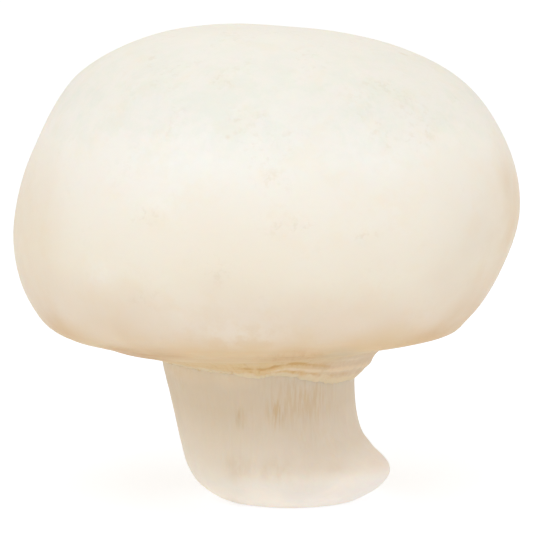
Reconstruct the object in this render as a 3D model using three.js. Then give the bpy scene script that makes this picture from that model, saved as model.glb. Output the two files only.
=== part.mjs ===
import * as THREE from "three";

// A button mushroom at the closed-cup stage, standing on the cut face of its stem.
// It has three pieces: the cap, the stem that plugs into its underside, and the veil,
// the ring of skin that closes the space between the cap's margin and the stem.
// Millimetres, +Z up. The origin is the centre of the cut face, -Y is the front, and the
// stem's foot flares towards +X.

// Driving dimensions
const CROWN_HEIGHT = 46.95;
const CROWN_X = -5.0;
const CAP_LEFT = -27.4;
const CAP_RIGHT = 22.6;
const NECK_LEFT = -12.75;
const NECK_RIGHT = 6.2;
const CUT_FACE_HALF_WIDTH = 6.6;
const JOINT_GAP = 0.45;

// How deep each piece is from front to back, as a share of its width, and how much of
// that share moves from the back to the front.
const CAP_DEPTH = { share: 0.972, forward: 0.01 };
const STEM_DEPTH = { share: 0.965, forward: -0.008 };

// Facets round each piece, and facets between two neighbouring outline points
const CAP_SIDES = 60;
const STEM_SIDES = 40;
const CAP_STEPS = 2;
const STEM_STEPS = 2;

// Each ring of a piece is an ellipse that passes through a point on its left outline and
// a point on its right outline, both [x, z], so a ring leans where their heights differ.
const ring = (left, right) => ({ left, right });

// The skin of the cap, from the crown down to the tip of its inrolled margin
const CAP_SKIN = [
  ring([-8.7, 46.85], [-1.0, 46.85]),
  ring([-12.9, 46.3], [4.4, 46.35]),
  ring([-18.3, 44.1], [12.3, 44.3]),
  ring([-22.2, 40.8], [17.3, 41.3]),
  ring([-24.8, 36.4], [20.6, 37.0]),
  ring([-26.7, 31.4], [22.3, 32.4]),
  ring([CAP_LEFT, 26.4], [CAP_RIGHT, 28.4]),
  ring([-26.8, 22.1], [21.4, 24.0]),
  ring([-25.0, 18.6], [19.2, 19.8]),
  ring([-22.5, 16.6], [16.5, 17.1]),
  ring([-18.9, 15.7], [12.8, 16.3]),
  ring([-15.8, 15.0], [9.8, 15.3]),
];

// The outside of the stem, from the top of its plug down to the edge of the cut face
const STEM_SIDE = [
  ring([-9.8, 18.5], [3.4, 18.5]),
  ring([-11.8, 17.6], [5.3, 17.6]),
  ring([NECK_LEFT, 15.6], [NECK_RIGHT + 0.1, 15.6]),
  ring([NECK_LEFT, 13.8], [NECK_RIGHT, 13.2]),
  ring([-12.2, 11.6], [6.1, 11.4]),
  ring([-11.75, 9.4], [6.3, 9.0]),
  ring([-11.25, 7.2], [7.1, 6.6]),
  ring([-10.75, 5.3], [8.7, 4.7]),
  ring([-10.3, 3.7], [9.9, 3.0]),
  ring([-9.5, 1.9], [9.4, 1.4]),
  ring([-8.05, 0.6], [7.9, 0.5]),
  ring([-CUT_FACE_HALF_WIDTH, 0], [CUT_FACE_HALF_WIDTH, 0]),
];
const STEM_TOP = [-3.2, 18.8];

// The underside of the cap turns in behind the margin and up round the stem's plug.
const CAP_UNDERSIDE = [
  ring([-15.2, 15.7], [9.2, 15.9]),
  ring([NECK_LEFT - 1.6 * JOINT_GAP, 15.8], [NECK_RIGHT + 2 * JOINT_GAP, 16.2]),
  ring([-12.5, 18.5], [6.0, 18.5]),
];
const SOCKET_TOP = [-3.2, 19.4];

// The veil's section runs from its inner top edge out, down and back to the stem. It is
// thin on the left and hangs lower on the right, where it is torn.
const VEIL_SECTION = [
  ring([NECK_LEFT - 1.2 * JOINT_GAP, 15.35], [NECK_RIGHT + 1.4 * JOINT_GAP, 15.7]),
  ring([-14.85, 15.1], [8.8, 15.4]),
  ring([-14.4, 14.5], [8.3, 13.9]),
  ring([NECK_LEFT - JOINT_GAP, 13.9], [NECK_RIGHT + JOINT_GAP, 12.3]),
];

/** The points of one ring, given as one point on each outline, anticlockwise from the right. */
function loop(left, right, sides, depth) {
  return Array.from({ length: sides }, (_, k) => {
    const angle = (2 * Math.PI * k) / sides;
    const rightwards = (1 + Math.cos(angle)) / 2;
    const halfDepth = ((right.x - left.x) / 2) * (depth.share - depth.forward * Math.sin(angle));
    return new THREE.Vector3(
      THREE.MathUtils.lerp(left.x, right.x, rightwards),
      halfDepth * Math.sin(angle),
      THREE.MathUtils.lerp(left.z, right.z, rightwards),
    );
  });
}

/** Rings given as points, with nothing between them. */
function sharpLoops(rings, sides, depth) {
  const place = ([x, z]) => new THREE.Vector3(x, 0, z);
  return rings.map((r) => loop(place(r.left), place(r.right), sides, depth));
}

/** Rings on smooth curves through the points of each outline. */
function smoothLoops(rings, sides, steps, depth) {
  const curve = (points) =>
    new THREE.CatmullRomCurve3(
      points.map(([x, z]) => new THREE.Vector3(x, 0, z)),
      false,
      "centripetal",
    );
  const left = curve(rings.map((r) => r.left));
  const right = curve(rings.map((r) => r.right));
  const last = (rings.length - 1) * steps;
  return Array.from({ length: last + 1 }, (_, i) =>
    loop(left.getPoint(i / last), right.getPoint(i / last), sides, depth),
  );
}

/** Faces between each loop and the next one, as corner numbers, outwards on a body listed downwards. */
function bands(count, sides, wrapped) {
  const faces = [];
  for (let i = 0; i < (wrapped ? count : count - 1); i++) {
    const upper = i * sides;
    const lower = ((i + 1) % count) * sides;
    for (let k = 0; k < sides; k++) {
      const next = (k + 1) % sides;
      faces.push(upper + k, lower + k, lower + next);
      faces.push(upper + k, lower + next, upper + next);
    }
  }
  return faces;
}

function geometry(points, faces) {
  const made = new THREE.BufferGeometry().setFromPoints(points);
  made.setIndex(faces);
  made.computeVertexNormals();
  return made;
}

/** A closed body from a stack of loops, listed downwards, with a fan to a point at each end. */
function body(loops, top, bottom) {
  const sides = loops[0].length;
  const points = loops.flat();
  const faces = bands(loops.length, sides, false);
  const topCorner = points.length;
  const bottomCorner = topCorner + 1;
  const lastLoop = (loops.length - 1) * sides;
  for (let k = 0; k < sides; k++) {
    const next = (k + 1) % sides;
    faces.push(topCorner, k, next);
    faces.push(bottomCorner, lastLoop + next, lastLoop + k);
  }
  return geometry([...points, top, bottom], faces);
}

/** A closed ring from loops that run round its section. */
function band(loops) {
  return geometry(loops.flat(), bands(loops.length, loops[0].length, true));
}

const point = ([x, z]) => new THREE.Vector3(x, 0, z);

function piece(name, shape, colour, roughness) {
  const made = new THREE.Mesh(
    shape,
    new THREE.MeshStandardMaterial({ color: colour, roughness, metalness: 0 }),
  );
  made.name = name;
  return made;
}

function capShape() {
  const skin = smoothLoops(CAP_SKIN, CAP_SIDES, CAP_STEPS, CAP_DEPTH);
  const underside = sharpLoops(CAP_UNDERSIDE, CAP_SIDES, CAP_DEPTH);
  return body([...skin, ...underside], point([CROWN_X, CROWN_HEIGHT]), point(SOCKET_TOP));
}

function stemShape() {
  const side = smoothLoops(STEM_SIDE, STEM_SIDES, STEM_STEPS, STEM_DEPTH);
  return body(side, point(STEM_TOP), point([0, 0]));
}

function veilShape() {
  return band(sharpLoops(VEIL_SECTION, CAP_SIDES, STEM_DEPTH));
}

const mushroom = new THREE.Group();
mushroom.name = "button_mushroom";
mushroom.add(piece("cap", capShape(), 0xf1ebdd, 0.62));
mushroom.add(piece("veil", veilShape(), 0xdcc394, 0.8));
mushroom.add(piece("stem", stemShape(), 0xdccdb7, 0.7));

export default mushroom;
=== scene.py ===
import math

import bmesh
import bpy
from bpy.props import FloatProperty, FloatVectorProperty, PointerProperty
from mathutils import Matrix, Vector, noise
from mathutils.geometry import interpolate_bezier


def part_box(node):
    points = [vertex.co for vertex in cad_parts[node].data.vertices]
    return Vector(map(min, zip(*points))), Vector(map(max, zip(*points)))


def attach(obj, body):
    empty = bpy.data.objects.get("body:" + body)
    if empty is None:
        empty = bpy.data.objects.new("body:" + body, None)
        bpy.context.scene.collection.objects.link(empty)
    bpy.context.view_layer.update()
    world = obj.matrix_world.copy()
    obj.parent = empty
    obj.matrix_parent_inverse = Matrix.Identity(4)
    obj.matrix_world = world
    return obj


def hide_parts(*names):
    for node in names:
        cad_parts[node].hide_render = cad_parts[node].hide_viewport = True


bl_info = {
    "name": "Button Mushroom",
    "version": (1, 0, 0),
    "blender": (4, 5, 0),
    "location": "3D View > Sidebar > Mushroom",
    "description": "Models a button mushroom that stands on its cut stem",
    "category": "Add Mesh",
}

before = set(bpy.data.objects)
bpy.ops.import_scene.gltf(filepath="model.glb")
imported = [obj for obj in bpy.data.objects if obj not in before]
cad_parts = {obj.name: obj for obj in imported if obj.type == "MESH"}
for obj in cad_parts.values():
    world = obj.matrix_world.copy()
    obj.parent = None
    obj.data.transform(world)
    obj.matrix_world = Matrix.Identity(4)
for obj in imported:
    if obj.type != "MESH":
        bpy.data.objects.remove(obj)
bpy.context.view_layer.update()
CAP_LOW, CAP_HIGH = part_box("cap")

MM = 0.001

# How finely each piece is drawn: points round it, and rings for each stretch of its outline
CAP_SIDES, CAP_STEPS = 40, 2
VEIL_SIDES, VEIL_STEPS = 96, 1
STEM_SIDES, STEM_STEPS = 40, 2
HALVINGS = 3  # how many times each face is then halved both ways

# Outlines, in millimetres. Each ring of a piece is an ellipse through a point on its left
# outline and a point on its right outline, both (x, z), seen from the front.
CAP_RINGS = [
    ((-8.7, 46.85), (-1.0, 46.85)),
    ((-12.9, 46.18), (4.4, 46.32)),
    ((-18.35, 44.12), (12.3, 44.18)),
    ((-21.75, 41.65), (17.38, 41.3)),
    ((-24.72, 36.4), (20.74, 37.0)),
    ((-26.6, 31.4), (22.52, 32.4)),
    ((-27.48, 26.4), (22.66, 28.4)),
    ((-26.88, 22.1), (21.14, 24.0)),
    ((-24.95, 18.6), (18.92, 19.75)),
    ((-23.86, 17.42), (17.44, 18.05)),
    ((-22.45, 16.65), (16.55, 17.08)),
    ((-21.3, 16.3), (15.3, 16.86)),
    ((-18.9, 15.64), (12.8, 16.52)),
    ((-15.8, 15.0), (9.6, 15.76)),
    ((-15.1, 15.8), (9.0, 16.15)),
    ((-13.6, 16.0), (7.2, 16.3)),
]
STEM_RINGS = [
    ((-9.8, 18.5), (3.4, 18.5)),
    ((-11.8, 17.6), (5.3, 17.6)),
    ((-12.75, 15.6), (6.45, 15.6)),
    ((-12.75, 13.8), (6.5, 13.2)),
    ((-12.25, 11.6), (6.45, 11.2)),
    ((-11.75, 9.4), (6.6, 8.8)),
    ((-11.25, 7.2), (7.22, 6.5)),
    ((-10.75, 5.3), (8.6, 4.7)),
    ((-10.35, 3.7), (10.1, 3.05)),
    ((-9.35, 1.9), (9.1, 1.45)),
    ((-7.8, 0.6), (7.6, 0.5)),
    ((-6.6, 0.02), (6.6, 0.02)),
]
VEIL_RINGS = [
    ((-17.3, 15.42), (11.0, 15.98)),
    ((-16.6, 15.1), (10.2, 15.74)),
    ((-15.7, 14.78), (9.4, 15.42)),
    ((-14.9, 14.68), (8.73, 14.95)),
    ((-14.2, 14.6), (8.22, 14.25)),
    ((-13.6, 14.48), (7.75, 13.45)),
    ((-13.1, 14.3), (7.15, 12.8)),
    ((-12.88, 14.02), (6.62, 12.3)),
    ((-12.6, 13.95), (6.35, 12.28)),
    ((-12.3, 14.5), (6.1, 13.6)),
    ((-13.3, 15.3), (7.0, 15.3)),
]
RIM_RING = 7  # the ring of the veil that is its lower rim

# How far the middle of each end stands above the ring that it closes, in millimetres
CROWN_RISE = 0.1
SOCKET_RISE = 2.4
STEM_TOP_RISE = 0.3
CUT_FACE_RISE = 0

# The height up to which the flesh is pale round the edge of the cut, in millimetres. The paleness is
# partly painted light, lifting the shade where the foot meets the floor.
CUT_EDGE_TOP = 1.45

# Where the relief of a piece rises from nothing and where it falls back, both (start, end):
# by height in millimetres, and for the veil by the share of its height from the top edge.
# The swells of the cap don't fall back.
CAP_SWELLS_RISE = (15.4, 19)
MARGIN_ROLLS = ((15.2, 16), (17, 20))
STEM_FLUTES = ((0.3, 2.5), (11.5, 13.5))
VEIL_LOOSE = ((0.06, 0.2), (1, 1.1))
VEIL_CLINGS = ((0.55, 0.98), (1.15, 1.4))

# The line that the veil's folds run round, and the middle of the cap, in millimetres
STEM_AXIS_X = -3.2
CAP_MIDDLE = (-2.5, 0, 28)

# Angles round the stem are in degrees: 0 at the front, 90 on the right, 180 at the back.
# The height of the veil's lower rim on the stem, in millimetres, at each angle
VEIL_RIM = [
    (-180, 13.1), (-150, 13.5), (-120, 13.65), (-90, 13.97), (-57, 14.05), (-33, 13.84),
    (-16, 13.66), (-2, 13.38), (3, 13.38), (9, 13.52), (16, 13.45), (21, 13.38), (27, 13.03),
    (34, 12.82), (51, 12.3), (70, 12.3), (90, 12.38), (125, 12.7), (150, 13.2), (180, 13.1),
]

# Folds of the veil: how far each stands out, in fold heights, its half width as a share of
# the veil's height, and its path as (angle, share of the veil's height from the top edge)
VEIL_FOLDS = [
    (-1.1, 0.09, [(-14, 0.56), (0, 0.62), (5, 0.54), (9, 0.44), (14, 0.35), (20, 0.36), (27, 0.45)]),
    (-1.0, 0.06, [(14, 0.35), (20, 0.37), (26, 0.45), (32, 0.5), (38, 0.54), (44, 0.55)]),
    (-0.7, 0.05, [(0, 0.64), (5, 0.57), (9, 0.48), (14, 0.4), (20, 0.39)]),
    (1.05, 0.06, [(1, 0.76), (5, 0.67), (9, 0.58), (15, 0.52), (21, 0.55), (29, 0.6), (36, 0.61)]),
    (1.3, 0.06, [(22, 0.57), (29, 0.62), (40, 0.64), (55, 0.63), (85, 0.65), (130, 0.6)]),
    (
        -0.6, 0.05,
        [(5, 0.67), (13, 0.67), (21, 0.71), (30, 0.75), (38, 0.76), (46, 0.75), (60, 0.73)],
    ),
    (0.5, 0.05, [(33, 0.36), (50, 0.4), (80, 0.42), (115, 0.34)]),
    (-0.4, 0.04, [(38, 0.26), (55, 0.3), (75, 0.3)]),
    (0.6, 0.05, [(-95, 0.5), (-70, 0.62), (-45, 0.58), (-25, 0.66)]),
    (-0.7, 0.06, [(-170, 0.4), (-140, 0.5), (-105, 0.42), (-85, 0.5)]),
    (0.8, 0.06, [(-178, 0.6), (-150, 0.7), (-120, 0.58)]),
    (-0.8, 0.05, [(130, 0.36), (150, 0.44), (172, 0.34)]),
    (0.8, 0.06, [(122, 0.52), (145, 0.62), (178, 0.58)]),
]
FOLD_END = 9  # degrees over which a fold rises from nothing at each end

# Patches of the skin and the flesh: middle and half sizes, in millimetres, and strength.
# These are the tan ones on the cap and the veil. The large ones on the flanks and those on the
# margin are partly painted shade, where the cap turns away from the light.
STAINS_AND_SHADE = [
    # Tan skin and painted shade on the right and left flanks
    ((23.5, -6, 28), (13, 15, 12), 0.78),
    ((-27.5, -5, 28), (13, 15, 13), 0.44),
    ((21.5, -8, 32.5), (3, 4.5, 3.2), 0.35),
    ((-22.8, -11, 28.5), (4.5, 8, 11), 0.13),
    ((16.5, -15, 27), (7, 9, 11), 0.15),
    # From here to the front middle, tan skin with painted shade on the margin and the lip under it
    ((17, -9, 18.5), (8, 8, 4.5), 0.65),
    ((12, -12, 17.6), (8, 7, 2.2), 0.25),
    ((-16.2, -12.5, 16.8), (3.4, 5, 1.1), 1.2),
    ((-12.9, -15.4, 16.6), (5, 5.5, 1.8), 0.9),
    ((-14, -12.3, 16), (3, 4, 1), 1.0),
    ((-15.8, -8.5, 15.4), (3.6, 4.5, 0.9), 1.2),
    ((-13.3, -10.2, 15.3), (3.4, 5, 0.65), 1.4),
    ((-16.6, -10, 15.85), (3.2, 5, 0.75), 1.4),
    ((-11.6, -15, 16.2), (3, 3.5, 0.9), 0.4),
    ((-23.5, -9, 17.8), (5.5, 8, 4.2), 0.6),
    ((0.4, -18.6, 17), (4.6, 4, 1.4), 0.4),
    ((0.8, -15.2, 16), (5.5, 5, 1.5), 0.65),
    ((11, -3.2, 44.5), (0.8, 0.8, 0.8), 0.5),
    ((-6, -20.8, 37.9), (0.35, 0.5, 0.35), 0.35),
    ((-14.8, -14.5, 40.9), (0.5, 0.5, 0.4), 0.3),
    ((10, 20, 22), (9, 5, 4), 0.45),
    ((-20, 14, 30), (4, 5, 5), 0.3),
    ((3, 22, 38), (4, 4, 2), 0.3),
]
# The paler ones on the cap. The two large ones high on the front are a painted highlight, the soft
# reflection of the key light.
PALE_PATCHES_AND_HIGHLIGHT = [
    ((-10, -19.5, 36), (10, 7, 4.5), 0.6),
    ((7.5, -19.5, 36.3), (6.5, 6, 4), 0.45),
    ((-17.5, -18, 25), (3.2, 3, 2.6), 0.32),
    ((-12.5, -21, 32), (4.5, 4, 2.2), 0.35),
    ((-6, -21.5, 21.5), (14, 6, 3.5), 0.15),
    ((-4.5, -20.8, 19.2), (7.5, 5, 2.4), 0.3),
    ((8.5, -21, 30), (8, 6, 4), 0.15),
    ((8, 20, 36), (8, 6, 4), 0.4),
]
# Grey painted shade on the cap, under the margin and on its front right side
GREY_SHADE_PATCHES = [
    ((5.5, -13.5, 16), (5, 6, 2), 1),
    ((4.6, -17, 16.9), (3.4, 4.5, 1.3), 1),
    ((9, 8, 16.5), (5, 5, 1.5), 1),
    ((16.5, -15, 27), (7, 9, 11), 0.2),
]
# Where the stem's fibres show most
FIBROUS = [
    ((-1.3, -9, 10), (1.7, 4, 2.6), 1),
    ((1.5, -8, 11.4), (6.5, 5, 4.5), 0.65),
    ((-4.9, -9, 9.3), (1, 3, 1.8), 0.6),
    ((2, 8.5, 11), (5, 4, 3), 0.8),
]
# The bruised ones on the stem
BRUISES = [
    ((-1.2, -9.6, 4.3), (4.4, 4, 2.1), 0.6),
    ((-5.5, -9, 4.3), (2.4, 3, 2.3), 0.75),
    ((4.6, -8.4, 4.4), (1.4, 3, 1), 0.3),
    ((-4.9, -9, 9.2), (0.7, 3, 1.4), 0.75),
    ((3, 9, 5), (5, 4, 1.6), 1),
    ((-9, 4, 6), (3, 4, 1.5), 1),
]
# The pale one where the foot of the stem flares, partly painted floor light on its outward, downward
# face
FLARE = [((8, -3.5, 3), (6, 8.5, 3.8), 0.7)]

# The places below have no strength, only their middle and half sizes, in millimetres.
# Where the margin is streaked, just above the deepest crease
STREAKED = ((0.2, -16.6, 16.4), (5, 5.5, 2.2))
# Where the cut face is woolly
WOOLLY = ((-0.4, 0.3, 0), (7.5, 7, 2))
# Where the cap's skin is scuffed
SCUFFED = [
    ((-13.4, -10.2, 44.2), (2.2, 4, 1.8)),
    ((1.2, -12.5, 45), (2.4, 4, 1.4)),
    ((-6.6, -16.1, 43), (2.6, 4, 1.8)),
    ((10.9, -14.8, 40.4), (2.4, 4, 2.6)),
    ((12.4, -15.9, 38), (3, 4, 2.4)),
    ((-2.6, -22.6, 36.5), (4, 3, 2)),
    ((-1.9, -23.1, 34), (3, 3, 2)),
    ((-13.8, -21.1, 30.6), (3.4, 3, 1.5)),
    ((-0.2, -24, 29.8), (4.6, 3, 1.6)),
    ((6.9, -22.3, 28.8), (2.4, 3, 1.4)),
    ((-7.1, -23.7, 25.6), (2.6, 3, 2.2)),
    ((-13.6, -20.6, 22.7), (3.6, 3, 1.6)),
    ((16, 8, 38), (5, 5, 4)),
    ((-8, 20, 34), (7, 5, 3)),
]


# Settings that a user may change

class CapSettings(bpy.types.PropertyGroup):
    depth: FloatProperty(
        name="Depth", description="Depth from front to back, as a share of the width",
        default=(CAP_HIGH.y - CAP_LOW.y) / (CAP_HIGH.x - CAP_LOW.x), subtype="FACTOR",
    )
    undulation: FloatProperty(
        name="Undulation", description="How far the skin rises and dips over the cap",
        default=0.3 * MM, unit="LENGTH",
    )
    crown_colour: FloatVectorProperty(
        name="Crown", description="Skin at the top of the cap", subtype="COLOR",
        default=(0.905, 0.895, 0.86), min=0, max=1,
    )
    shoulder_colour: FloatVectorProperty(
        name="Shoulder", description="Slightly greyer skin between the crown and the pale band",
        subtype="COLOR", default=(0.868, 0.853, 0.816), min=0, max=1,
    )
    # Partly a painted highlight: the pale band lies where the key light falls most
    band_colour: FloatVectorProperty(
        name="Pale band", description="Palest skin, above the middle of the cap",
        subtype="COLOR", default=(0.902, 0.873, 0.828), min=0, max=1,
    )
    side_colour: FloatVectorProperty(
        name="Side", description="Cream skin just under the middle of the cap",
        subtype="COLOR", default=(0.86, 0.785, 0.668), min=0, max=1,
    )
    # This and the margin are partly painted shade, darker where the cap turns under
    low_colour: FloatVectorProperty(
        name="Low side", description="Skin where the cap turns under", subtype="COLOR",
        default=(0.795, 0.67, 0.534), min=0, max=1,
    )
    margin_colour: FloatVectorProperty(
        name="Margin", description="Skin at the inrolled margin", subtype="COLOR",
        default=(0.725, 0.535, 0.325), min=0, max=1,
    )
    # Also paints shade, on the flank patches and those on the margin
    stain_and_shade_colour: FloatVectorProperty(
        name="Stains", description="Tint of the tan patches, over the skin's own colour",
        subtype="COLOR", default=(0.86, 0.74, 0.6), min=0, max=1,
    )
    # Partly a painted highlight, on the two large patches high on the front
    pale_and_highlight_colour: FloatVectorProperty(
        name="Pale patches", description="Skin of the palest patches", subtype="COLOR",
        default=(0.93, 0.92, 0.9), min=0, max=1,
    )
    # Painted shade: this cool grey tint darkens the grey patches under the margin
    dry_colour: FloatVectorProperty(
        name="Dry patches", description="Tint of the grey patches of the margin",
        subtype="COLOR", default=(0.89, 0.93, 0.985), min=0, max=1,
    )
    mottle_colour: FloatVectorProperty(
        name="Mottling", description="Cool tint of the fine mottling on the upper half",
        subtype="COLOR", default=(0.96, 0.985, 0.972), min=0, max=1,
    )
    warm_colour: FloatVectorProperty(
        name="Warm patches", description="Faint warm tint of the patches between the mottling",
        subtype="COLOR", default=(1.0, 0.98, 0.95), min=0, max=1,
    )
    fleck_colour: FloatVectorProperty(
        name="Flecks", description="Tint of the fine flecks, over the skin's own colour",
        subtype="COLOR", default=(0.95, 0.932, 0.905), min=0, max=1,
    )


class VeilSettings(bpy.types.PropertyGroup):
    fold_height: FloatProperty(
        name="Fold height", description="How far a fold of the veil stands out",
        default=0.1 * MM, unit="LENGTH",
    )
    membrane_colour: FloatVectorProperty(
        name="Membrane", description="The golden upper part of the veil", subtype="COLOR",
        default=(0.722, 0.525, 0.295), min=0, max=1,
    )
    dry_colour: FloatVectorProperty(
        name="Dry membrane", description="The greyer part, on the side of the flared foot",
        subtype="COLOR", default=(0.69, 0.535, 0.38), min=0, max=1,
    )
    # Paler on the dry top of each fold, partly a painted highlight where the ridge catches the light
    fold_colour: FloatVectorProperty(
        name="Folds", description="The dry top of each fold", subtype="COLOR",
        default=(0.765, 0.6, 0.425), min=0, max=1,
    )
    rim_colour: FloatVectorProperty(
        name="Rim", description="The pale lower rim", subtype="COLOR",
        default=(0.75, 0.6, 0.41), min=0, max=1,
    )
    # Partly painted shade: brown in the bottom of each crease, and in the ticks under the rim's
    # ragged edge
    crease_colour: FloatVectorProperty(
        name="Creases", description="The bottom of each crease", subtype="COLOR",
        default=(0.62, 0.39, 0.17), min=0, max=1,
    )


class StemSettings(bpy.types.PropertyGroup):
    depth: FloatProperty(
        name="Depth", description="Depth of stem and veil, as a share of their width",
        default=0.965, subtype="FACTOR",
    )
    flute_depth: FloatProperty(
        name="Flute depth", description="Depth of the shallow upright flutes",
        default=0.12 * MM, unit="LENGTH",
    )
    # Partly painted light: lighter than the neck, to lift the shade just under the veil's rim
    collar_colour: FloatVectorProperty(
        name="Collar", description="Flesh under the veil's rim, warmer from a thin film of skin",
        subtype="COLOR", default=(0.79, 0.66, 0.515), min=0, max=1,
    )
    # Partly painted shade: darker where the cap shadows the top of the stem
    neck_colour: FloatVectorProperty(
        name="Neck", description="Flesh a little below the veil", subtype="COLOR",
        default=(0.712, 0.612, 0.495), min=0, max=1,
    )
    # Partly painted light: paler where the floor lights the foot
    foot_colour: FloatVectorProperty(
        name="Foot", description="Flesh of the rounded foot", subtype="COLOR",
        default=(0.875, 0.815, 0.75), min=0, max=1,
    )
    # Partly painted light: paler, to lift the shade where the foot meets the floor
    cut_colour: FloatVectorProperty(
        name="Cut edge", description="Fresh pale flesh round the edge of the cut face",
        subtype="COLOR", default=(1.0, 0.888, 0.8), min=0, max=1,
    )
    flare_colour: FloatVectorProperty(
        name="Flare", description="Pale flesh on the side where the foot flares",
        subtype="COLOR", default=(0.905, 0.856, 0.83), min=0, max=1,
    )
    weathered_colour: FloatVectorProperty(
        name="Weathered side", description="Tint of the side away from the flare",
        subtype="COLOR", default=(1.0, 0.985, 0.94), min=0, max=1,
    )
    streak_colour: FloatVectorProperty(
        name="Streaks", description="Tint of the bruised fibres, over the flesh's own colour",
        subtype="COLOR", default=(0.91, 0.8, 0.62), min=0, max=1,
    )
    bruise_colour: FloatVectorProperty(
        name="Bruise", description="Tint of the band just above the foot",
        subtype="COLOR", default=(0.88, 0.83, 0.76), min=0, max=1,
    )


class StageSettings(bpy.types.PropertyGroup):
    camera_aim: FloatVectorProperty(
        name="Camera aim", description="The point in the middle of the picture",
        default=(-2.366 * MM, 0, 23.14 * MM), subtype="TRANSLATION", unit="LENGTH",
    )
    camera_distance: FloatProperty(
        name="Camera distance", description="From the camera to the mushroom's middle",
        default=420 * MM, unit="LENGTH",
    )
    camera_height_angle: FloatProperty(
        name="Camera elevation", description="Angle at which the camera looks down",
        default=math.radians(7), unit="ROTATION",
    )
    view_width: FloatProperty(
        name="View width", description="Width of the picture at the mushroom's middle",
        default=52.72 * MM, unit="LENGTH",
    )
    key_place: FloatVectorProperty(
        name="Key light place", description="Where the large soft light hangs, above the front",
        default=(-50 * MM, -320 * MM, 420 * MM), subtype="TRANSLATION", unit="LENGTH",
    )
    key_aim: FloatVectorProperty(
        name="Key light aim", description="The point that the large soft light faces",
        default=(0, 0, 25 * MM), subtype="TRANSLATION", unit="LENGTH",
    )
    key_width: FloatProperty(
        name="Key light width", description="Width of the large soft light",
        default=350 * MM, unit="LENGTH",
    )
    key_power: FloatProperty(
        name="Key light power", description="Power of the large soft light, in watts",
        default=0.62,
    )
    key_colour: FloatVectorProperty(
        name="Key light colour", description="Colour of the large soft light",
        subtype="COLOR", default=(0.71, 0.86, 1.0), min=0, max=1,
    )
    floor_width: FloatProperty(
        name="Floor width", description="Width of the plain floor",
        default=6000 * MM, unit="LENGTH",
    )
    floor_colour: FloatVectorProperty(
        name="Floor", description="Colour of the plain floor", subtype="COLOR",
        default=(0.56, 0.61, 0.69), min=0, max=1,
    )
    floor_glow: FloatVectorProperty(
        name="Floor glow", description="Light that the floor gives off, as a light table does",
        subtype="COLOR", default=(0.43, 0.425, 0.41), min=0, max=1,
    )
    floor_lift: FloatVectorProperty(
        name="Floor lift", description="Glow of the floor as the camera sees it",
        subtype="COLOR", default=(0.54, 0.54, 0.54), min=0, max=1,
    )
    tent_colour: FloatVectorProperty(
        name="Tent light", description="Soft light from all round, off the walls of a light tent",
        subtype="COLOR", default=(0.86, 0.8, 0.71), min=0, max=1,
    )
    backdrop_colour: FloatVectorProperty(
        name="Backdrop", description="The tent's walls as the camera sees them",
        subtype="COLOR", default=(1, 1, 1), min=0, max=1,
    )


# Modelling

# How far apart in the noise the hills of one seed lie from those of the next
SEED_STEP = Vector((7.3, 3.1, 5.7))


def tangent(before, here, after):
    """The direction of a smooth curve at a point between two others."""
    arriving, leaving = here - before, after - here
    if not arriving.length:
        return leaving.normalized()
    if not leaving.length:
        return arriving.normalized()
    mean = arriving.normalized() * leaving.length + leaving.normalized() * arriving.length
    return mean.normalized()


def smooth_curve(points, steps):
    """Points on a smooth curve through the given ones, with so many steps to each stretch."""
    last = len(points) - 1
    curve = []
    for i in range(last):
        start, end = points[i], points[i + 1]
        handle = (end - start).length / 3
        leave = start + tangent(points[max(i - 1, 0)], start, end) * handle
        arrive = end - tangent(start, end, points[min(i + 2, last)]) * handle
        curve += interpolate_bezier(start, leave, arrive, end, steps + 1)[:-1]
    return curve + [points[last]]


def rings_through(outline, steps):
    """Pairs of left and right points, in metres, on smooth curves through an outline's points."""
    left = smooth_curve([Vector((x, 0, z)) * MM for (x, z), _ in outline], steps)
    right = smooth_curve([Vector((x, 0, z)) * MM for _, (x, z) in outline], steps)
    return list(zip(left, right))


def lean_ring(angle, centre):
    bpy.ops.transform.rotate(value=angle, orient_axis="Y", center_override=centre)


def mark_ring(piece, layer_name, value):
    """Writes a value on the selected points, for the shaping that follows."""
    drawn = bmesh.from_edit_mesh(piece.data)
    layer = drawn.verts.layers.float.get(layer_name) or drawn.verts.layers.float.new(layer_name)
    for point in drawn.verts:
        if point.select:
            point[layer] = value


def loft(name, rings, sides, depth):
    """A tube of rings, each extruded from the last one, sized and leaned into its place.

    It is left in edit mode with the last ring selected.
    """
    bpy.ops.object.select_all(action="DESELECT")
    bpy.ops.mesh.primitive_circle_add(vertices=sides, radius=1, fill_type="NOTHING")
    piece = bpy.context.object
    piece.name = piece.data.name = name
    bpy.ops.object.mode_set(mode="EDIT")
    bpy.ops.mesh.select_all(action="SELECT")
    centre, half_width, half_depth, lean = Vector(), 1.0, 1.0, 0.0
    for number, (left, right) in enumerate(rings):
        if number:
            bpy.ops.mesh.extrude_region_move()
        across = right - left
        new_centre = (left + right) / 2
        new_half_width = across.length / 2
        new_half_depth = new_half_width * depth
        lean_ring(-lean, centre)
        bpy.ops.transform.translate(value=new_centre - centre)
        bpy.ops.transform.resize(
            value=(new_half_width / half_width, new_half_depth / half_depth, 1),
            center_override=new_centre,
        )
        centre, half_width, half_depth = new_centre, new_half_width, new_half_depth
        lean = math.atan2(across.z, across.x)
        lean_ring(lean, centre)
        mark_ring(piece, "along", number / (len(rings) - 1))
    return piece


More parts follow.
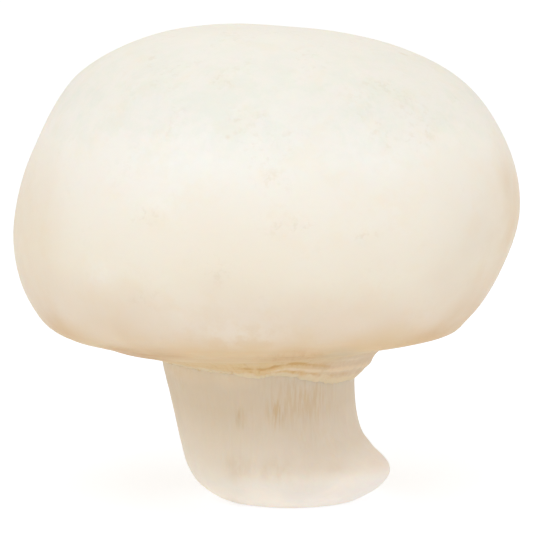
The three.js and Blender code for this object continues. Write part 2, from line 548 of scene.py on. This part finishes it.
def fill_end(piece, sides, rise):
    """Fills the selected ring with a grid of faces, raised in the middle like a dome."""
    drawn = bmesh.from_edit_mesh(piece.data)
    ring = [point.co.copy() for point in drawn.verts if point.select]
    middle = sum(ring, Vector()) / len(ring)
    radius = max((place - middle).length for place in ring)
    before = len(drawn.verts)
    quarter = sides // 4
    bpy.ops.mesh.fill_grid(span=quarter)
    drawn = bmesh.from_edit_mesh(piece.data)
    drawn.verts.ensure_lookup_table()
    for point in drawn.verts[before:]:
        share = (point.co - middle).length / radius
        point.co.z += rise * (1 - share**2)
    bmesh.update_edit_mesh(piece.data)


def close_tube(piece, sides, last_rise, first_rise):
    """Fills both ends of a lofted tube."""
    fill_end(piece, sides, last_rise)
    bpy.ops.mesh.select_all(action="DESELECT")
    bpy.ops.mesh.select_non_manifold()
    fill_end(piece, sides, first_rise)
    finish_edit()


def close_band(piece):
    """Joins a lofted tube's last ring to its first one."""
    bpy.ops.mesh.select_all(action="DESELECT")
    bpy.ops.mesh.select_non_manifold()
    bpy.ops.mesh.bridge_edge_loops()
    finish_edit()


def finish_edit():
    """Turns every face outwards and leaves edit mode."""
    bpy.ops.mesh.select_all(action="SELECT")
    bpy.ops.mesh.normals_make_consistent(inside=False)
    bpy.ops.object.mode_set(mode="OBJECT")


def subdivide(piece, levels):
    modifier = piece.modifiers.new("Smooth", "SUBSURF")
    modifier.levels = modifier.render_levels = levels
    bpy.ops.object.modifier_apply(modifier=modifier.name)
    bpy.ops.object.shade_smooth()


def sculpt(piece, push):
    """Moves each point of a piece by push(its place, its normal, its number)."""
    mesh = piece.data
    moves = [push(point.co, point.normal, point.index) for point in mesh.vertices]
    for point, move in zip(mesh.vertices, moves):
        point.co += move
    mesh.update()


def read_layer(piece, layer_name):
    return [entry.value for entry in piece.data.attributes[layer_name].data]


def write_layer(piece, layer_name, values):
    layer = piece.data.attributes.new(layer_name, "FLOAT", "POINT")
    layer.data.foreach_set("value", values)


def hills(place, size, seed):
    """Smooth noise from -1 to 1, with hills about as wide as the given size."""
    return noise.noise(place / size + seed * SEED_STEP)


def fade(value, start, end):
    """0 before start and 1 after end, with a smooth change between them."""
    share = min(max((value - start) / (end - start), 0), 1)
    return share * share * (3 - 2 * share)


def plateau(value, rise, fall):
    """1 between a rise and a fall, both (start, end), and 0 outside them."""
    return fade(value, *rise) * (1 - fade(value, *fall))


def bell(value, centre, half_width):
    return math.exp(-(((value - centre) / half_width) ** 2))


def angle_round_stem(place):
    """The angle of a place round the stem, in degrees, with 0 at the front."""
    return math.degrees(math.atan2(place.x - STEM_AXIS_X * MM, -place.y))


def hills_round_stem(angle, width, height, seed):
    """Smooth noise from -1 to 1 round the stem, with hills so many degrees wide.

    The height at which it is read is in hills too: 0 and 1 are one hill apart.
    """
    turn = math.radians(angle)
    radius = 1 / math.radians(width)
    return hills(Vector((math.sin(turn) * radius, math.cos(turn) * radius, height)), 1, seed)


def path_value(path, angle):
    """The value at an angle on a path of (angle, value) points, eased between them."""
    for (start, first), (end, last) in zip(path, path[1:]):
        if start <= angle <= end:
            return first + (last - first) * fade(angle, start, end)
    return path[0][1] if angle < path[0][0] else path[-1][1]


def dress(piece, node, material):
    """Gives a finished piece its material and its body, and hides the part of the model that it
    stands for.
    """
    piece.data.materials.append(material)
    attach(piece, "root")
    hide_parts(node)


# Materials

# How far red, green and blue light spread under the skin, as shares of a material's glow radius
GLOW_SPREAD = (1.0, 0.62, 0.38)
# The values between which nearly all of a Noise node's output lies
NOISE_LOW, NOISE_HIGH = 0.3, 0.7
# A Mix node has sockets for each kind of data. These are the ones that a mix of colours uses.
MIX_SHARE, MIX_FIRST, MIX_SECOND, MIX_RESULT = 0, 6, 7, 2


class Recipe:
    """A material's nodes, and short ways to add them. Places in it are in millimetres."""

    def __init__(self, name, specular, subsurface, glow_radius):
        self.material = bpy.data.materials.new(name)
        self.material.use_nodes = True
        self.tree = self.material.node_tree
        self.shader = self.tree.nodes["Principled BSDF"]
        self.shader.subsurface_method = "RANDOM_WALK"
        self.shader.inputs["Specular IOR Level"].default_value = specular
        self.shader.inputs["Subsurface Weight"].default_value = subsurface
        self.shader.inputs["Subsurface Scale"].default_value = glow_radius * MM
        self.shader.inputs["Subsurface Radius"].default_value = GLOW_SPREAD
        coordinates = self.add("ShaderNodeTexCoord", {})
        self.place = self.stretch(coordinates.outputs["Object"], (1 / MM, 1 / MM, 1 / MM))

    def add(self, kind, sockets, **settings):
        node = self.tree.nodes.new(kind)
        for name, value in settings.items():
            setattr(node, name, value)
        for key, value in sockets.items():
            if isinstance(value, bpy.types.NodeSocket):
                self.tree.links.new(value, node.inputs[key])
            else:
                node.inputs[key].default_value = value
        return node

    def stretch(self, place, scale):
        node = self.add("ShaderNodeMapping", {"Vector": place, "Scale": scale})
        return node.outputs["Vector"]

    def layer(self, name):
        """A value that was written on the piece's points."""
        node = self.add("ShaderNodeAttribute", {}, attribute_name=name)
        return node.outputs["Fac"]

    def noise(self, size, detail=3, roughness=0.5, stretch=(1, 1, 1), twist=0):
        """Noise from 0 to 1, with spots about as wide as the given size."""
        scale = tuple(1 / (size * share) for share in stretch)
        node = self.add(
            "ShaderNodeTexNoise",
            {
                "Vector": self.stretch(self.place, scale),
                "Scale": 1,
                "Detail": detail,
                "Roughness": roughness,
                "Distortion": twist,
            },
        )
        return node.outputs["Fac"]

    def reckon(self, kind, first, second):
        """One step of arithmetic on two values."""
        node = self.add("ShaderNodeMath", {0: first, 1: second}, operation=kind)
        return node.outputs["Value"]

    def product(self, *values):
        total = values[0]
        for value in values[1:]:
            total = self.reckon("MULTIPLY", total, value)
        return total

    def span(self, value, low, high, start=0, end=1, steps="SMOOTHSTEP"):
        """The value from low to high turned into start to end, and held beyond them."""
        before = {"Value": value, "From Min": low, "From Max": high}
        after = {"To Min": start, "To Max": end}
        node = self.add("ShaderNodeMapRange", before | after, interpolation_type=steps)
        return node.outputs["Result"]

    def wander(self, low, high, size, **looks):
        """Noise that wanders from a low value to a high one."""
        return self.span(self.noise(size, **looks), NOISE_LOW, NOISE_HIGH, low, high)

    def reckon_places(self, kind, first, second=(0, 0, 0)):
        """One step of arithmetic on places. Its result is a place, or a value for a length."""
        node = self.add("ShaderNodeVectorMath", {0: first, 1: second}, operation=kind)
        return node.outputs["Value" if kind == "LENGTH" else "Vector"]

    def part(self, axis, place=None):
        """One coordinate of each place."""
        parts = self.add("ShaderNodeSeparateXYZ", {"Vector": place or self.place})
        return parts.outputs[axis]

    def upward_from(self, centre):
        """How far up each place lies as seen from a centre: 1 right above it, -1 right below."""
        offset = self.reckon_places("SUBTRACT", self.place, centre)
        return self.part("Z", self.reckon_places("NORMALIZE", offset))

    def near(self, middle, half_sizes):
        """1 at a place and 0 beyond an egg round it with the given half sizes."""
        offset = self.reckon_places("SUBTRACT", self.place, middle)
        distance = self.reckon_places("LENGTH", self.reckon_places("DIVIDE", offset, half_sizes))
        return self.span(distance, 0, 1, 1, 0)

    def ramp(self, value, stops):
        """The colour at a value from 0 to 1 on a ramp of (value, colour) stops."""
        node = self.add("ShaderNodeValToRGB", {"Fac": value})
        elements = node.color_ramp.elements
        while len(elements) < len(stops):
            elements.new(1)
        for element, (position, colour) in zip(elements, stops):
            element.position = position
            element.color = (*colour, 1)
        return node.outputs["Color"]

    def mix(self, share, first, second, kind="MIX"):
        node = self.add("ShaderNodeMix", {MIX_SHARE: share}, data_type="RGBA", blend_type=kind)
        for number, value in ((MIX_FIRST, first), (MIX_SECOND, second)):
            if isinstance(value, bpy.types.NodeSocket):
                self.tree.links.new(value, node.inputs[number])
            else:
                node.inputs[number].default_value = (*value, 1)
        return node.outputs[MIX_RESULT]

    def tint(self, share, colour, wash):
        """A colour under a share of a thin wash of another."""
        return self.mix(share, colour, wash, "MULTIPLY")

    def patches(self, colour, places, other, kind="MULTIPLY", texture=1):
        """A colour mixed with another at each of some places, broken up by a texture."""
        for middle, half_sizes, strength in places:
            share = self.product(self.near(middle, half_sizes), texture, strength)
            colour = self.mix(share, colour, other, kind)
        return colour

    def bump(self, height, depth, under=None):
        """Relief with the given depth in millimetres, over other relief if there is any."""
        sockets = {"Height": height, "Distance": depth * MM, "Strength": 1}
        if under:
            sockets["Normal"] = under
        return self.add("ShaderNodeBump", sockets).outputs["Normal"]

    def finish(self, colour, roughness, relief):
        looks = {"Base Color": colour, "Roughness": roughness, "Normal": relief}
        for socket, value in looks.items():
            self.tree.links.new(value, self.shader.inputs[socket])
        return self.material


def bare_skin(skin, settings):
    """The colour of the cap's skin, with its painted light, its stains and its grey patches of
    painted shade, before any scuffs.
    """
    drift = skin.wander(-0.04, 0.04, size=9, detail=2)
    upward = skin.reckon("ADD", skin.upward_from(CAP_MIDDLE), drift)
    # From the margin up to the crown: the skin's own cream to tan, with painted light in it, a
    # highlight band where the key light falls most and painted shade on the low side and the margin
    colour = skin.ramp(
        skin.span(upward, -1, 1, steps="LINEAR"),
        [
            (0.252, settings.margin_colour),
            (0.33, settings.low_colour),
            (0.44, settings.side_colour),
            (0.67, settings.band_colour),
            (0.76, settings.shoulder_colour),
            (0.94, settings.crown_colour),
        ],
    )
    streaks = skin.span(skin.noise(0.45, detail=4, stretch=(1, 6, 6)), 0.4, 0.64, 0, 0.7)
    streaks = skin.product(streaks, skin.near(*STREAKED))
    colour = skin.tint(streaks, colour, settings.stain_and_shade_colour)
    # Tan stains, with painted shade on the flanks and the margin
    patchy = skin.span(skin.noise(4, detail=6, roughness=0.55), 0.3, 0.65, 0.68, 1)
    colour = skin.patches(colour, STAINS_AND_SHADE, settings.stain_and_shade_colour, texture=patchy)
    # Grey patches of painted shade
    return skin.patches(colour, GREY_SHADE_PATCHES, settings.dry_colour)


def cap_skin(settings):
    skin = Recipe("cap_skin", specular=0.35, subsurface=0.35, glow_radius=1.6)
    colour = bare_skin(skin, settings)
    # Paler patches, the two large ones high on the front a painted highlight
    broken = skin.span(skin.noise(2.2, detail=6, roughness=0.65), 0.4, 0.6, 0.35, 1)
    colour = skin.patches(colour, PALE_PATCHES_AND_HIGHLIGHT, settings.pale_and_highlight_colour, "MIX", broken)

    # Cool mottling and faint warm patches
    upward = skin.upward_from(CAP_MIDDLE)
    high = skin.product(skin.span(upward, 0.22, 0.45), skin.span(upward, 0.95, 0.6, 0.35, 1))
    mottle = skin.span(skin.noise(3.6, detail=6, roughness=0.72), 0.42, 0.6)
    colour = skin.tint(skin.product(mottle, high), colour, settings.mottle_colour)
    warm = skin.span(skin.noise(4.2, detail=6, roughness=0.65), 0.5, 0.66, 0, 0.8)
    colour = skin.tint(warm, colour, settings.warm_colour)

    # Fine flecks, most of them where the skin is scuffed
    clusters = skin.span(skin.noise(4.5, detail=4), 0.5, 0.66, 0.12, 0.75)
    scuffed = skin.product(clusters, skin.span(upward, 0.2, 0.45, 0.35, 1))
    for middle, half_sizes in SCUFFED:
        scuffed = skin.reckon("MAXIMUM", scuffed, skin.near(middle, half_sizes))
    flakes = skin.noise(0.7, detail=4, roughness=0.62, twist=0.3)
    flecks = skin.product(skin.span(flakes, 0.5, 0.66), scuffed)
    colour = skin.tint(flecks, colour, settings.fleck_colour)

    roughness = skin.wander(0.44, 0.58, size=3, detail=4)
    ripples = skin.noise(1.7, detail=3, stretch=(4, 4, 1), twist=0.4)
    relief = skin.bump(ripples, 0.04)
    relief = skin.bump(skin.noise(1.6, detail=3), 0.03, relief)
    relief = skin.bump(skin.product(flakes, scuffed), 0.06, relief)
    return skin.finish(colour, roughness, relief)


def veil_skin(cap_settings, settings):
    skin = Recipe("veil_skin", specular=0.25, subsurface=0.3, glow_radius=1.2)
    down = skin.reckon("ADD", skin.layer("down"), skin.wander(-0.08, 0.08, size=1.5))
    dry = skin.span(skin.part("X"), -1, 6)
    membrane = skin.mix(dry, settings.membrane_colour, settings.dry_colour)
    colour = skin.mix(skin.span(down, 0.08, 0.42), bare_skin(skin, cap_settings), membrane)
    colour = skin.mix(skin.span(down, 0.74, 0.86), colour, settings.rim_colour)

    # Paler, drier fold tops, partly painted highlight on the ridges, and brown creases, partly
    # painted shade in them
    ragged = skin.wander(-0.25, 0.25, size=0.45, detail=4, roughness=0.6)
    fold = skin.reckon("ADD", skin.layer("fold"), ragged)
    colour = skin.mix(skin.span(fold, 0.2, 1.1), colour, settings.fold_colour)
    creased = skin.span(fold, -0.1, -1.1)
    streaked = skin.product(skin.span(skin.layer("streak"), 0, 0.6), skin.span(fold, 0.3, -0.4))
    stained = skin.product(streaked, skin.span(down, 0.1, 0.3), skin.span(down, 0.9, 0.7))
    creased = skin.reckon("MAXIMUM", creased, skin.product(stained, 0.55))
    creased = skin.product(creased, skin.span(skin.part("X"), 0.5, 4, 1, 0.5))
    colour = skin.mix(creased, colour, settings.crease_colour)

    # Short brown ticks along the left part of the rim, painted shade under its ragged edge
    ticks = skin.span(skin.noise(0.5, detail=3, stretch=(1.5, 1.5, 0.6)), 0.5, 0.6)
    on_rim = skin.span(skin.layer("down"), 0.78, 0.9)
    on_left = skin.span(skin.part("X"), -4, -6)
    colour = skin.mix(skin.product(ticks, on_rim, on_left, 0.6), colour, settings.crease_colour)

    roughness = skin.wander(0.6, 0.75, size=0.8)
    fibres = skin.noise(0.3, detail=4)
    relief = skin.bump(skin.layer("streak"), 0.03)
    return skin.finish(colour, roughness, skin.bump(fibres, 0.03, relief))


def height_of_flesh(flesh):
    """The height in millimetres that sets the flesh's colour, lower where the foot flares, which
    paints the flare paler, partly as painted floor light.
    """
    from_side = flesh.reckon("ABSOLUTE", flesh.part("Y"), 0)
    drop = flesh.span(from_side, 0, 10, -0.5, 0, steps="LINEAR")
    drift = flesh.wander(-0.5, 0.5, size=5, detail=2)
    height = flesh.reckon("ADD", flesh.reckon("ADD", flesh.part("Z"), drop), drift)
    # The flared foot takes the paler colours of lower down, partly painted floor light
    flare = flesh.span(flesh.part("X"), 1.5, 9.5, 0, 3.7)
    flare = flesh.product(flare, flesh.span(flesh.part("Z"), 6.8, 4.4))
    # The flare makes nothing as pale as the edge of the cut
    lowest = flesh.reckon("MINIMUM", height, CUT_EDGE_TOP)
    return flesh.reckon("MAXIMUM", flesh.reckon("SUBTRACT", height, flare), lowest)


def stem_flesh(settings):
    flesh = Recipe("stem_flesh", specular=0.3, subsurface=0.4, glow_radius=1.4)
    height = height_of_flesh(flesh)
    neck, foot = Vector(settings.neck_colour), Vector(settings.foot_colour)
    # Flesh from the cut edge up to the collar, its own tone with painted light in it: painted shadow
    # of the cap at the neck, painted floor light at the foot and the cut edge, and a painted lift
    # under the veil's rim
    colour = flesh.ramp(
        flesh.span(height, 0, 14, steps="LINEAR"),
        [
            (0.035, settings.cut_colour),
            (0.155, foot),
            (0.36, neck.lerp(foot, 0.6)),
            (0.71, neck),
            (0.88, neck),
            (1.0, settings.collar_colour),
        ],
    )
    # The pale flare, partly painted floor light
    colour = flesh.patches(colour, FLARE, settings.flare_colour, "MIX")
    weathered = flesh.span(flesh.part("X"), 3, -10)
    colour = flesh.tint(weathered, colour, settings.weathered_colour)
    blotches = flesh.span(flesh.noise(0.9, detail=5, stretch=(1, 1, 2.5)), 0.36, 0.6, 0.3, 1)
    colour = flesh.patches(colour, BRUISES, settings.bruise_colour, texture=blotches)

    # Bruised upright fibres, most of them a little below the veil
    upright = (1, 1, 9)
    fibrous = flesh.span(flesh.noise(6, detail=1), 0.5, 0.65, 0.06, 0.25)
    fibrous = flesh.product(fibrous, flesh.span(flesh.part("Z"), 5, 9))
    for middle, half_sizes, strength in FIBROUS:
        patch = flesh.product(flesh.near(middle, half_sizes), strength)
        fibrous = flesh.reckon("MAXIMUM", fibrous, patch)
    streaks = flesh.noise(0.26, detail=5, roughness=0.55, stretch=upright)
    streaks = flesh.product(flesh.span(streaks, 0.38, 0.62), fibrous)
    colour = flesh.tint(streaks, colour, settings.streak_colour)

    # The cut face, a little woolly, with faint marks of the knife
    cut = flesh.span(flesh.part("Z"), 0.2, 0.05)
    knife_marks = flesh.noise(0.4, detail=4, stretch=(12, 1, 1))
    grain = flesh.span(flesh.noise(1.1, detail=6, roughness=0.65), 0.35, 0.65, 0.1, 0.8)
    woolly = flesh.product(grain, flesh.near(*WOOLLY))
    woolly = flesh.reckon("ADD", woolly, flesh.span(knife_marks, 0.5, 0.64, 0, 0.4))
    colour = flesh.tint(flesh.product(woolly, cut), colour, settings.bruise_colour)

    roughness = flesh.wander(0.55, 0.7, size=2, detail=4)
    relief = flesh.bump(flesh.noise(0.4, detail=5, stretch=upright), 0.06)
    relief = flesh.bump(flesh.product(knife_marks, cut), 0.1, relief)
    return flesh.finish(colour, roughness, relief)


# Pieces

class MUSHROOM_OT_cap(bpy.types.Operator):
    """Models the cap, from its crown to its inrolled margin"""

    bl_idname = "mushroom.cap"
    bl_label = "Cap"

    def execute(self, context):
        settings = context.scene.mushroom_cap
        rings = rings_through(CAP_RINGS, CAP_STEPS)
        cap = loft("mushroom_cap", rings, CAP_SIDES, settings.depth)
        close_tube(cap, CAP_SIDES, last_rise=SOCKET_RISE * MM, first_rise=CROWN_RISE * MM)
        subdivide(cap, HALVINGS)
        along = read_layer(cap, "along")

        def skin(place, normal, number):
            return normal * cap_relief(place, along[number]) * settings.undulation

        sculpt(cap, skin)
        dress(cap, "cap", cap_skin(settings))
        return {"FINISHED"}


def cap_relief(place, along):
    """How far the skin stands out, in undulations, at a place and a share of the outline."""
    height = place.z / MM
    swells = hills(place, size=13 * MM, seed=1) + 0.15 * hills(place, size=4.5 * MM, seed=2)
    angle = angle_round_stem(place)
    rolls = 0.12 * hills_round_stem(angle, width=25, height=along * 55, seed=8)
    return swells * fade(height, *CAP_SWELLS_RISE) + rolls * plateau(height, *MARGIN_ROLLS)


class MUSHROOM_OT_veil(bpy.types.Operator):
    """Models the veil, the folded skin between the cap's margin and the stem"""

    bl_idname = "mushroom.veil"
    bl_label = "Veil"

    def execute(self, context):
        settings = context.scene.mushroom_veil
        depth = context.scene.mushroom_stem.depth
        veil = loft("mushroom_veil", rings_through(VEIL_RINGS, VEIL_STEPS), VEIL_SIDES, depth)
        close_band(veil)
        subdivide(veil, HALVINGS)
        at_rim = RIM_RING / (len(VEIL_RINGS) - 1)
        down = [along / at_rim for along in read_layer(veil, "along")]
        folds, streaks = [], []

        def wrinkle(place, normal, number):
            angle = angle_round_stem(place)
            fold = 0 if normal.z > 0 else veil_fold(angle, down[number])
            folds.append(fold)
            streak = hills_round_stem(angle, width=1.3, height=down[number] * 2.5, seed=6)
            streaks.append(streak)
            rise = Vector((0, 0, rim_rise(angle, down[number])))
            return normal * fold * settings.fold_height + rise

        sculpt(veil, wrinkle)
        write_layer(veil, "down", down)
        write_layer(veil, "fold", folds)
        write_layer(veil, "streak", streaks)
        dress(veil, "veil", veil_skin(context.scene.mushroom_cap, settings))
        return {"FINISHED"}


def veil_fold(angle, down):
    """How far the veil stands out, in fold heights, at an angle and a share of its height."""
    loose = plateau(down, *VEIL_LOOSE)
    total = 0.4 * loose * hills_round_stem(angle, width=16, height=down * 11, seed=3)
    total += 0.25 * loose * hills_round_stem(angle, width=2.6, height=down * 3, seed=10)
    for height, half_width, path in VEIL_FOLDS:
        first, last = path[0][0], path[-1][0]
        if first < angle < last:
            ends = plateau(angle, (first, first + FOLD_END), (last - FOLD_END, last))
            lumps = 0.8 + 0.6 * hills_round_stem(angle, width=5, height=height, seed=7)
            total += height * ends * lumps * bell(down, path_value(path, angle), half_width)
    return total


def rim_rise(angle, down):
    """How far the veil's lower rim moves up, in metres, to where it clings to the stem."""
    rightwards = (1 + math.sin(math.radians(angle))) / 2
    left, right = (height for _, height in VEIL_RINGS[RIM_RING])
    as_drawn = left + (right - left) * rightwards
    ragged = 0.11 * hills_round_stem(angle, width=4, height=0, seed=4)
    ragged += 0.08 * hills_round_stem(angle, width=1.4, height=0, seed=5)
    rise = path_value(VEIL_RIM, angle) - as_drawn + ragged
    return rise * plateau(down, *VEIL_CLINGS) * MM


class MUSHROOM_OT_stem(bpy.types.Operator):
    """Models the stem, with its flared foot and its cut face"""

    bl_idname = "mushroom.stem"
    bl_label = "Stem"

    def execute(self, context):
        settings = context.scene.mushroom_stem
        rings = rings_through(STEM_RINGS, STEM_STEPS)
        stem = loft("mushroom_stem", rings, STEM_SIDES, settings.depth)
        close_tube(stem, STEM_SIDES, last_rise=CUT_FACE_RISE * MM, first_rise=STEM_TOP_RISE * MM)
        subdivide(stem, HALVINGS)

        def flute(place, normal, _):
            return normal * stem_flutes(place) * settings.flute_depth

        sculpt(stem, flute)
        dress(stem, "stem", stem_flesh(settings))
        return {"FINISHED"}


def stem_flutes(place):
    """How far the stem's side stands out, in flute depths, on upright flutes of three widths."""
    upright = Vector((place.x, place.y, place.z / 8))
    flutes = hills(upright, size=2.2 * MM, seed=5)
    flutes += 0.5 * hills(upright, size=0.9 * MM, seed=6)
    flutes += 0.25 * hills(upright, size=0.45 * MM, seed=9)
    return flutes * plateau(place.z / MM, *STEM_FLUTES)


class MUSHROOM_OT_stage(bpy.types.Operator):
    """Sets the floor, the lights and the camera"""

    bl_idname = "mushroom.stage"
    bl_label = "Stage"

    def execute(self, context):
        settings = context.scene.mushroom_stage
        add_floor(settings)
        add_world(settings)
        add_key_light(settings)
        add_camera(settings)
        context.scene.view_settings.view_transform = "Standard"
        return {"FINISHED"}


def seen_or_lit(tree, seen, lit):
    """A colour that the camera sees, while the light that falls on the mushroom has another."""
    ray = tree.nodes.new("ShaderNodeLightPath")
    colour = tree.nodes.new("ShaderNodeMix")
    colour.data_type = "RGBA"
    colour.inputs[MIX_FIRST].default_value = (*lit, 1)
    colour.inputs[MIX_SECOND].default_value = (*seen, 1)
    tree.links.new(ray.outputs["Is Camera Ray"], colour.inputs[MIX_SHARE])
    return colour.outputs[MIX_RESULT]


def add_floor(settings):
    bpy.ops.object.select_all(action="DESELECT")
    bpy.ops.mesh.primitive_plane_add(size=settings.floor_width)
    floor = bpy.context.object
    floor.name = "floor"
    material = bpy.data.materials.new("floor")
    material.use_nodes = True
    tree = material.node_tree
    shader = tree.nodes["Principled BSDF"]
    shader.inputs["Base Color"].default_value = (*settings.floor_colour, 1)
    shader.inputs["Roughness"].default_value = 0.9
    shader.inputs["Emission Strength"].default_value = 1
    lift = seen_or_lit(tree, settings.floor_lift, settings.floor_glow)
    tree.links.new(lift, shader.inputs["Emission Color"])
    floor.data.materials.append(material)


def add_world(settings):
    world = bpy.data.worlds.new("studio")
    world.use_nodes = True
    tree = world.node_tree
    colour = seen_or_lit(tree, settings.backdrop_colour, settings.tent_colour)
    tree.links.new(colour, tree.nodes["Background"].inputs["Color"])
    bpy.context.scene.world = world


def add_key_light(settings):
    light = bpy.data.lights.new("key_light", "AREA")
    light.shape = "DISK"
    light.size = settings.key_width
    light.energy = settings.key_power
    light.color = settings.key_colour
    softbox = bpy.data.objects.new("key_light", light)
    bpy.context.collection.objects.link(softbox)
    softbox.location = settings.key_place
    facing = Vector(settings.key_aim) - Vector(settings.key_place)
    softbox.rotation_euler = facing.to_track_quat("-Z", "Y").to_euler()
    softbox.visible_camera = False


def add_camera(settings):
    camera_data = bpy.data.cameras.new("camera")
    camera_data.lens = camera_data.sensor_width * settings.camera_distance / settings.view_width
    camera = bpy.data.objects.new("camera", camera_data)
    bpy.context.collection.objects.link(camera)
    down = settings.camera_height_angle
    away = settings.camera_distance * Vector((0, -math.cos(down), math.sin(down)))
    camera.location = Vector(settings.camera_aim) + away
    camera.rotation_euler = (math.pi / 2 - down, 0, 0)
    bpy.context.scene.camera = camera


class MUSHROOM_PT_panel(bpy.types.Panel):
    """Lists the mushroom's pieces and their settings"""

    bl_label = "Button Mushroom"
    bl_idname = "MUSHROOM_PT_panel"
    bl_space_type = "VIEW_3D"
    bl_region_type = "UI"
    bl_category = "Mushroom"

    def draw(self, context):
        for operator, name, _ in SECTIONS:
            box = self.layout.box()
            box.operator(operator.bl_idname)
            settings = getattr(context.scene, name)
            for setting in settings.bl_rna.properties:
                if not setting.is_readonly and setting.identifier != "name":
                    box.prop(settings, setting.identifier)


SECTIONS = [
    (MUSHROOM_OT_cap, "mushroom_cap", CapSettings),
    (MUSHROOM_OT_veil, "mushroom_veil", VeilSettings),
    (MUSHROOM_OT_stem, "mushroom_stem", StemSettings),
    (MUSHROOM_OT_stage, "mushroom_stage", StageSettings),
]


def register():
    for operator, name, settings in SECTIONS:
        bpy.utils.register_class(settings)
        bpy.utils.register_class(operator)
        setattr(bpy.types.Scene, name, PointerProperty(type=settings))
    bpy.utils.register_class(MUSHROOM_PT_panel)


def unregister():
    bpy.utils.unregister_class(MUSHROOM_PT_panel)
    for operator, name, settings in reversed(SECTIONS):
        delattr(bpy.types.Scene, name)
        bpy.utils.unregister_class(operator)
        bpy.utils.unregister_class(settings)


def main():
    register()
    bpy.ops.mushroom.cap()
    bpy.ops.mushroom.veil()
    bpy.ops.mushroom.stem()
    bpy.ops.mushroom.stage()


if __name__ == "__main__":
    main()
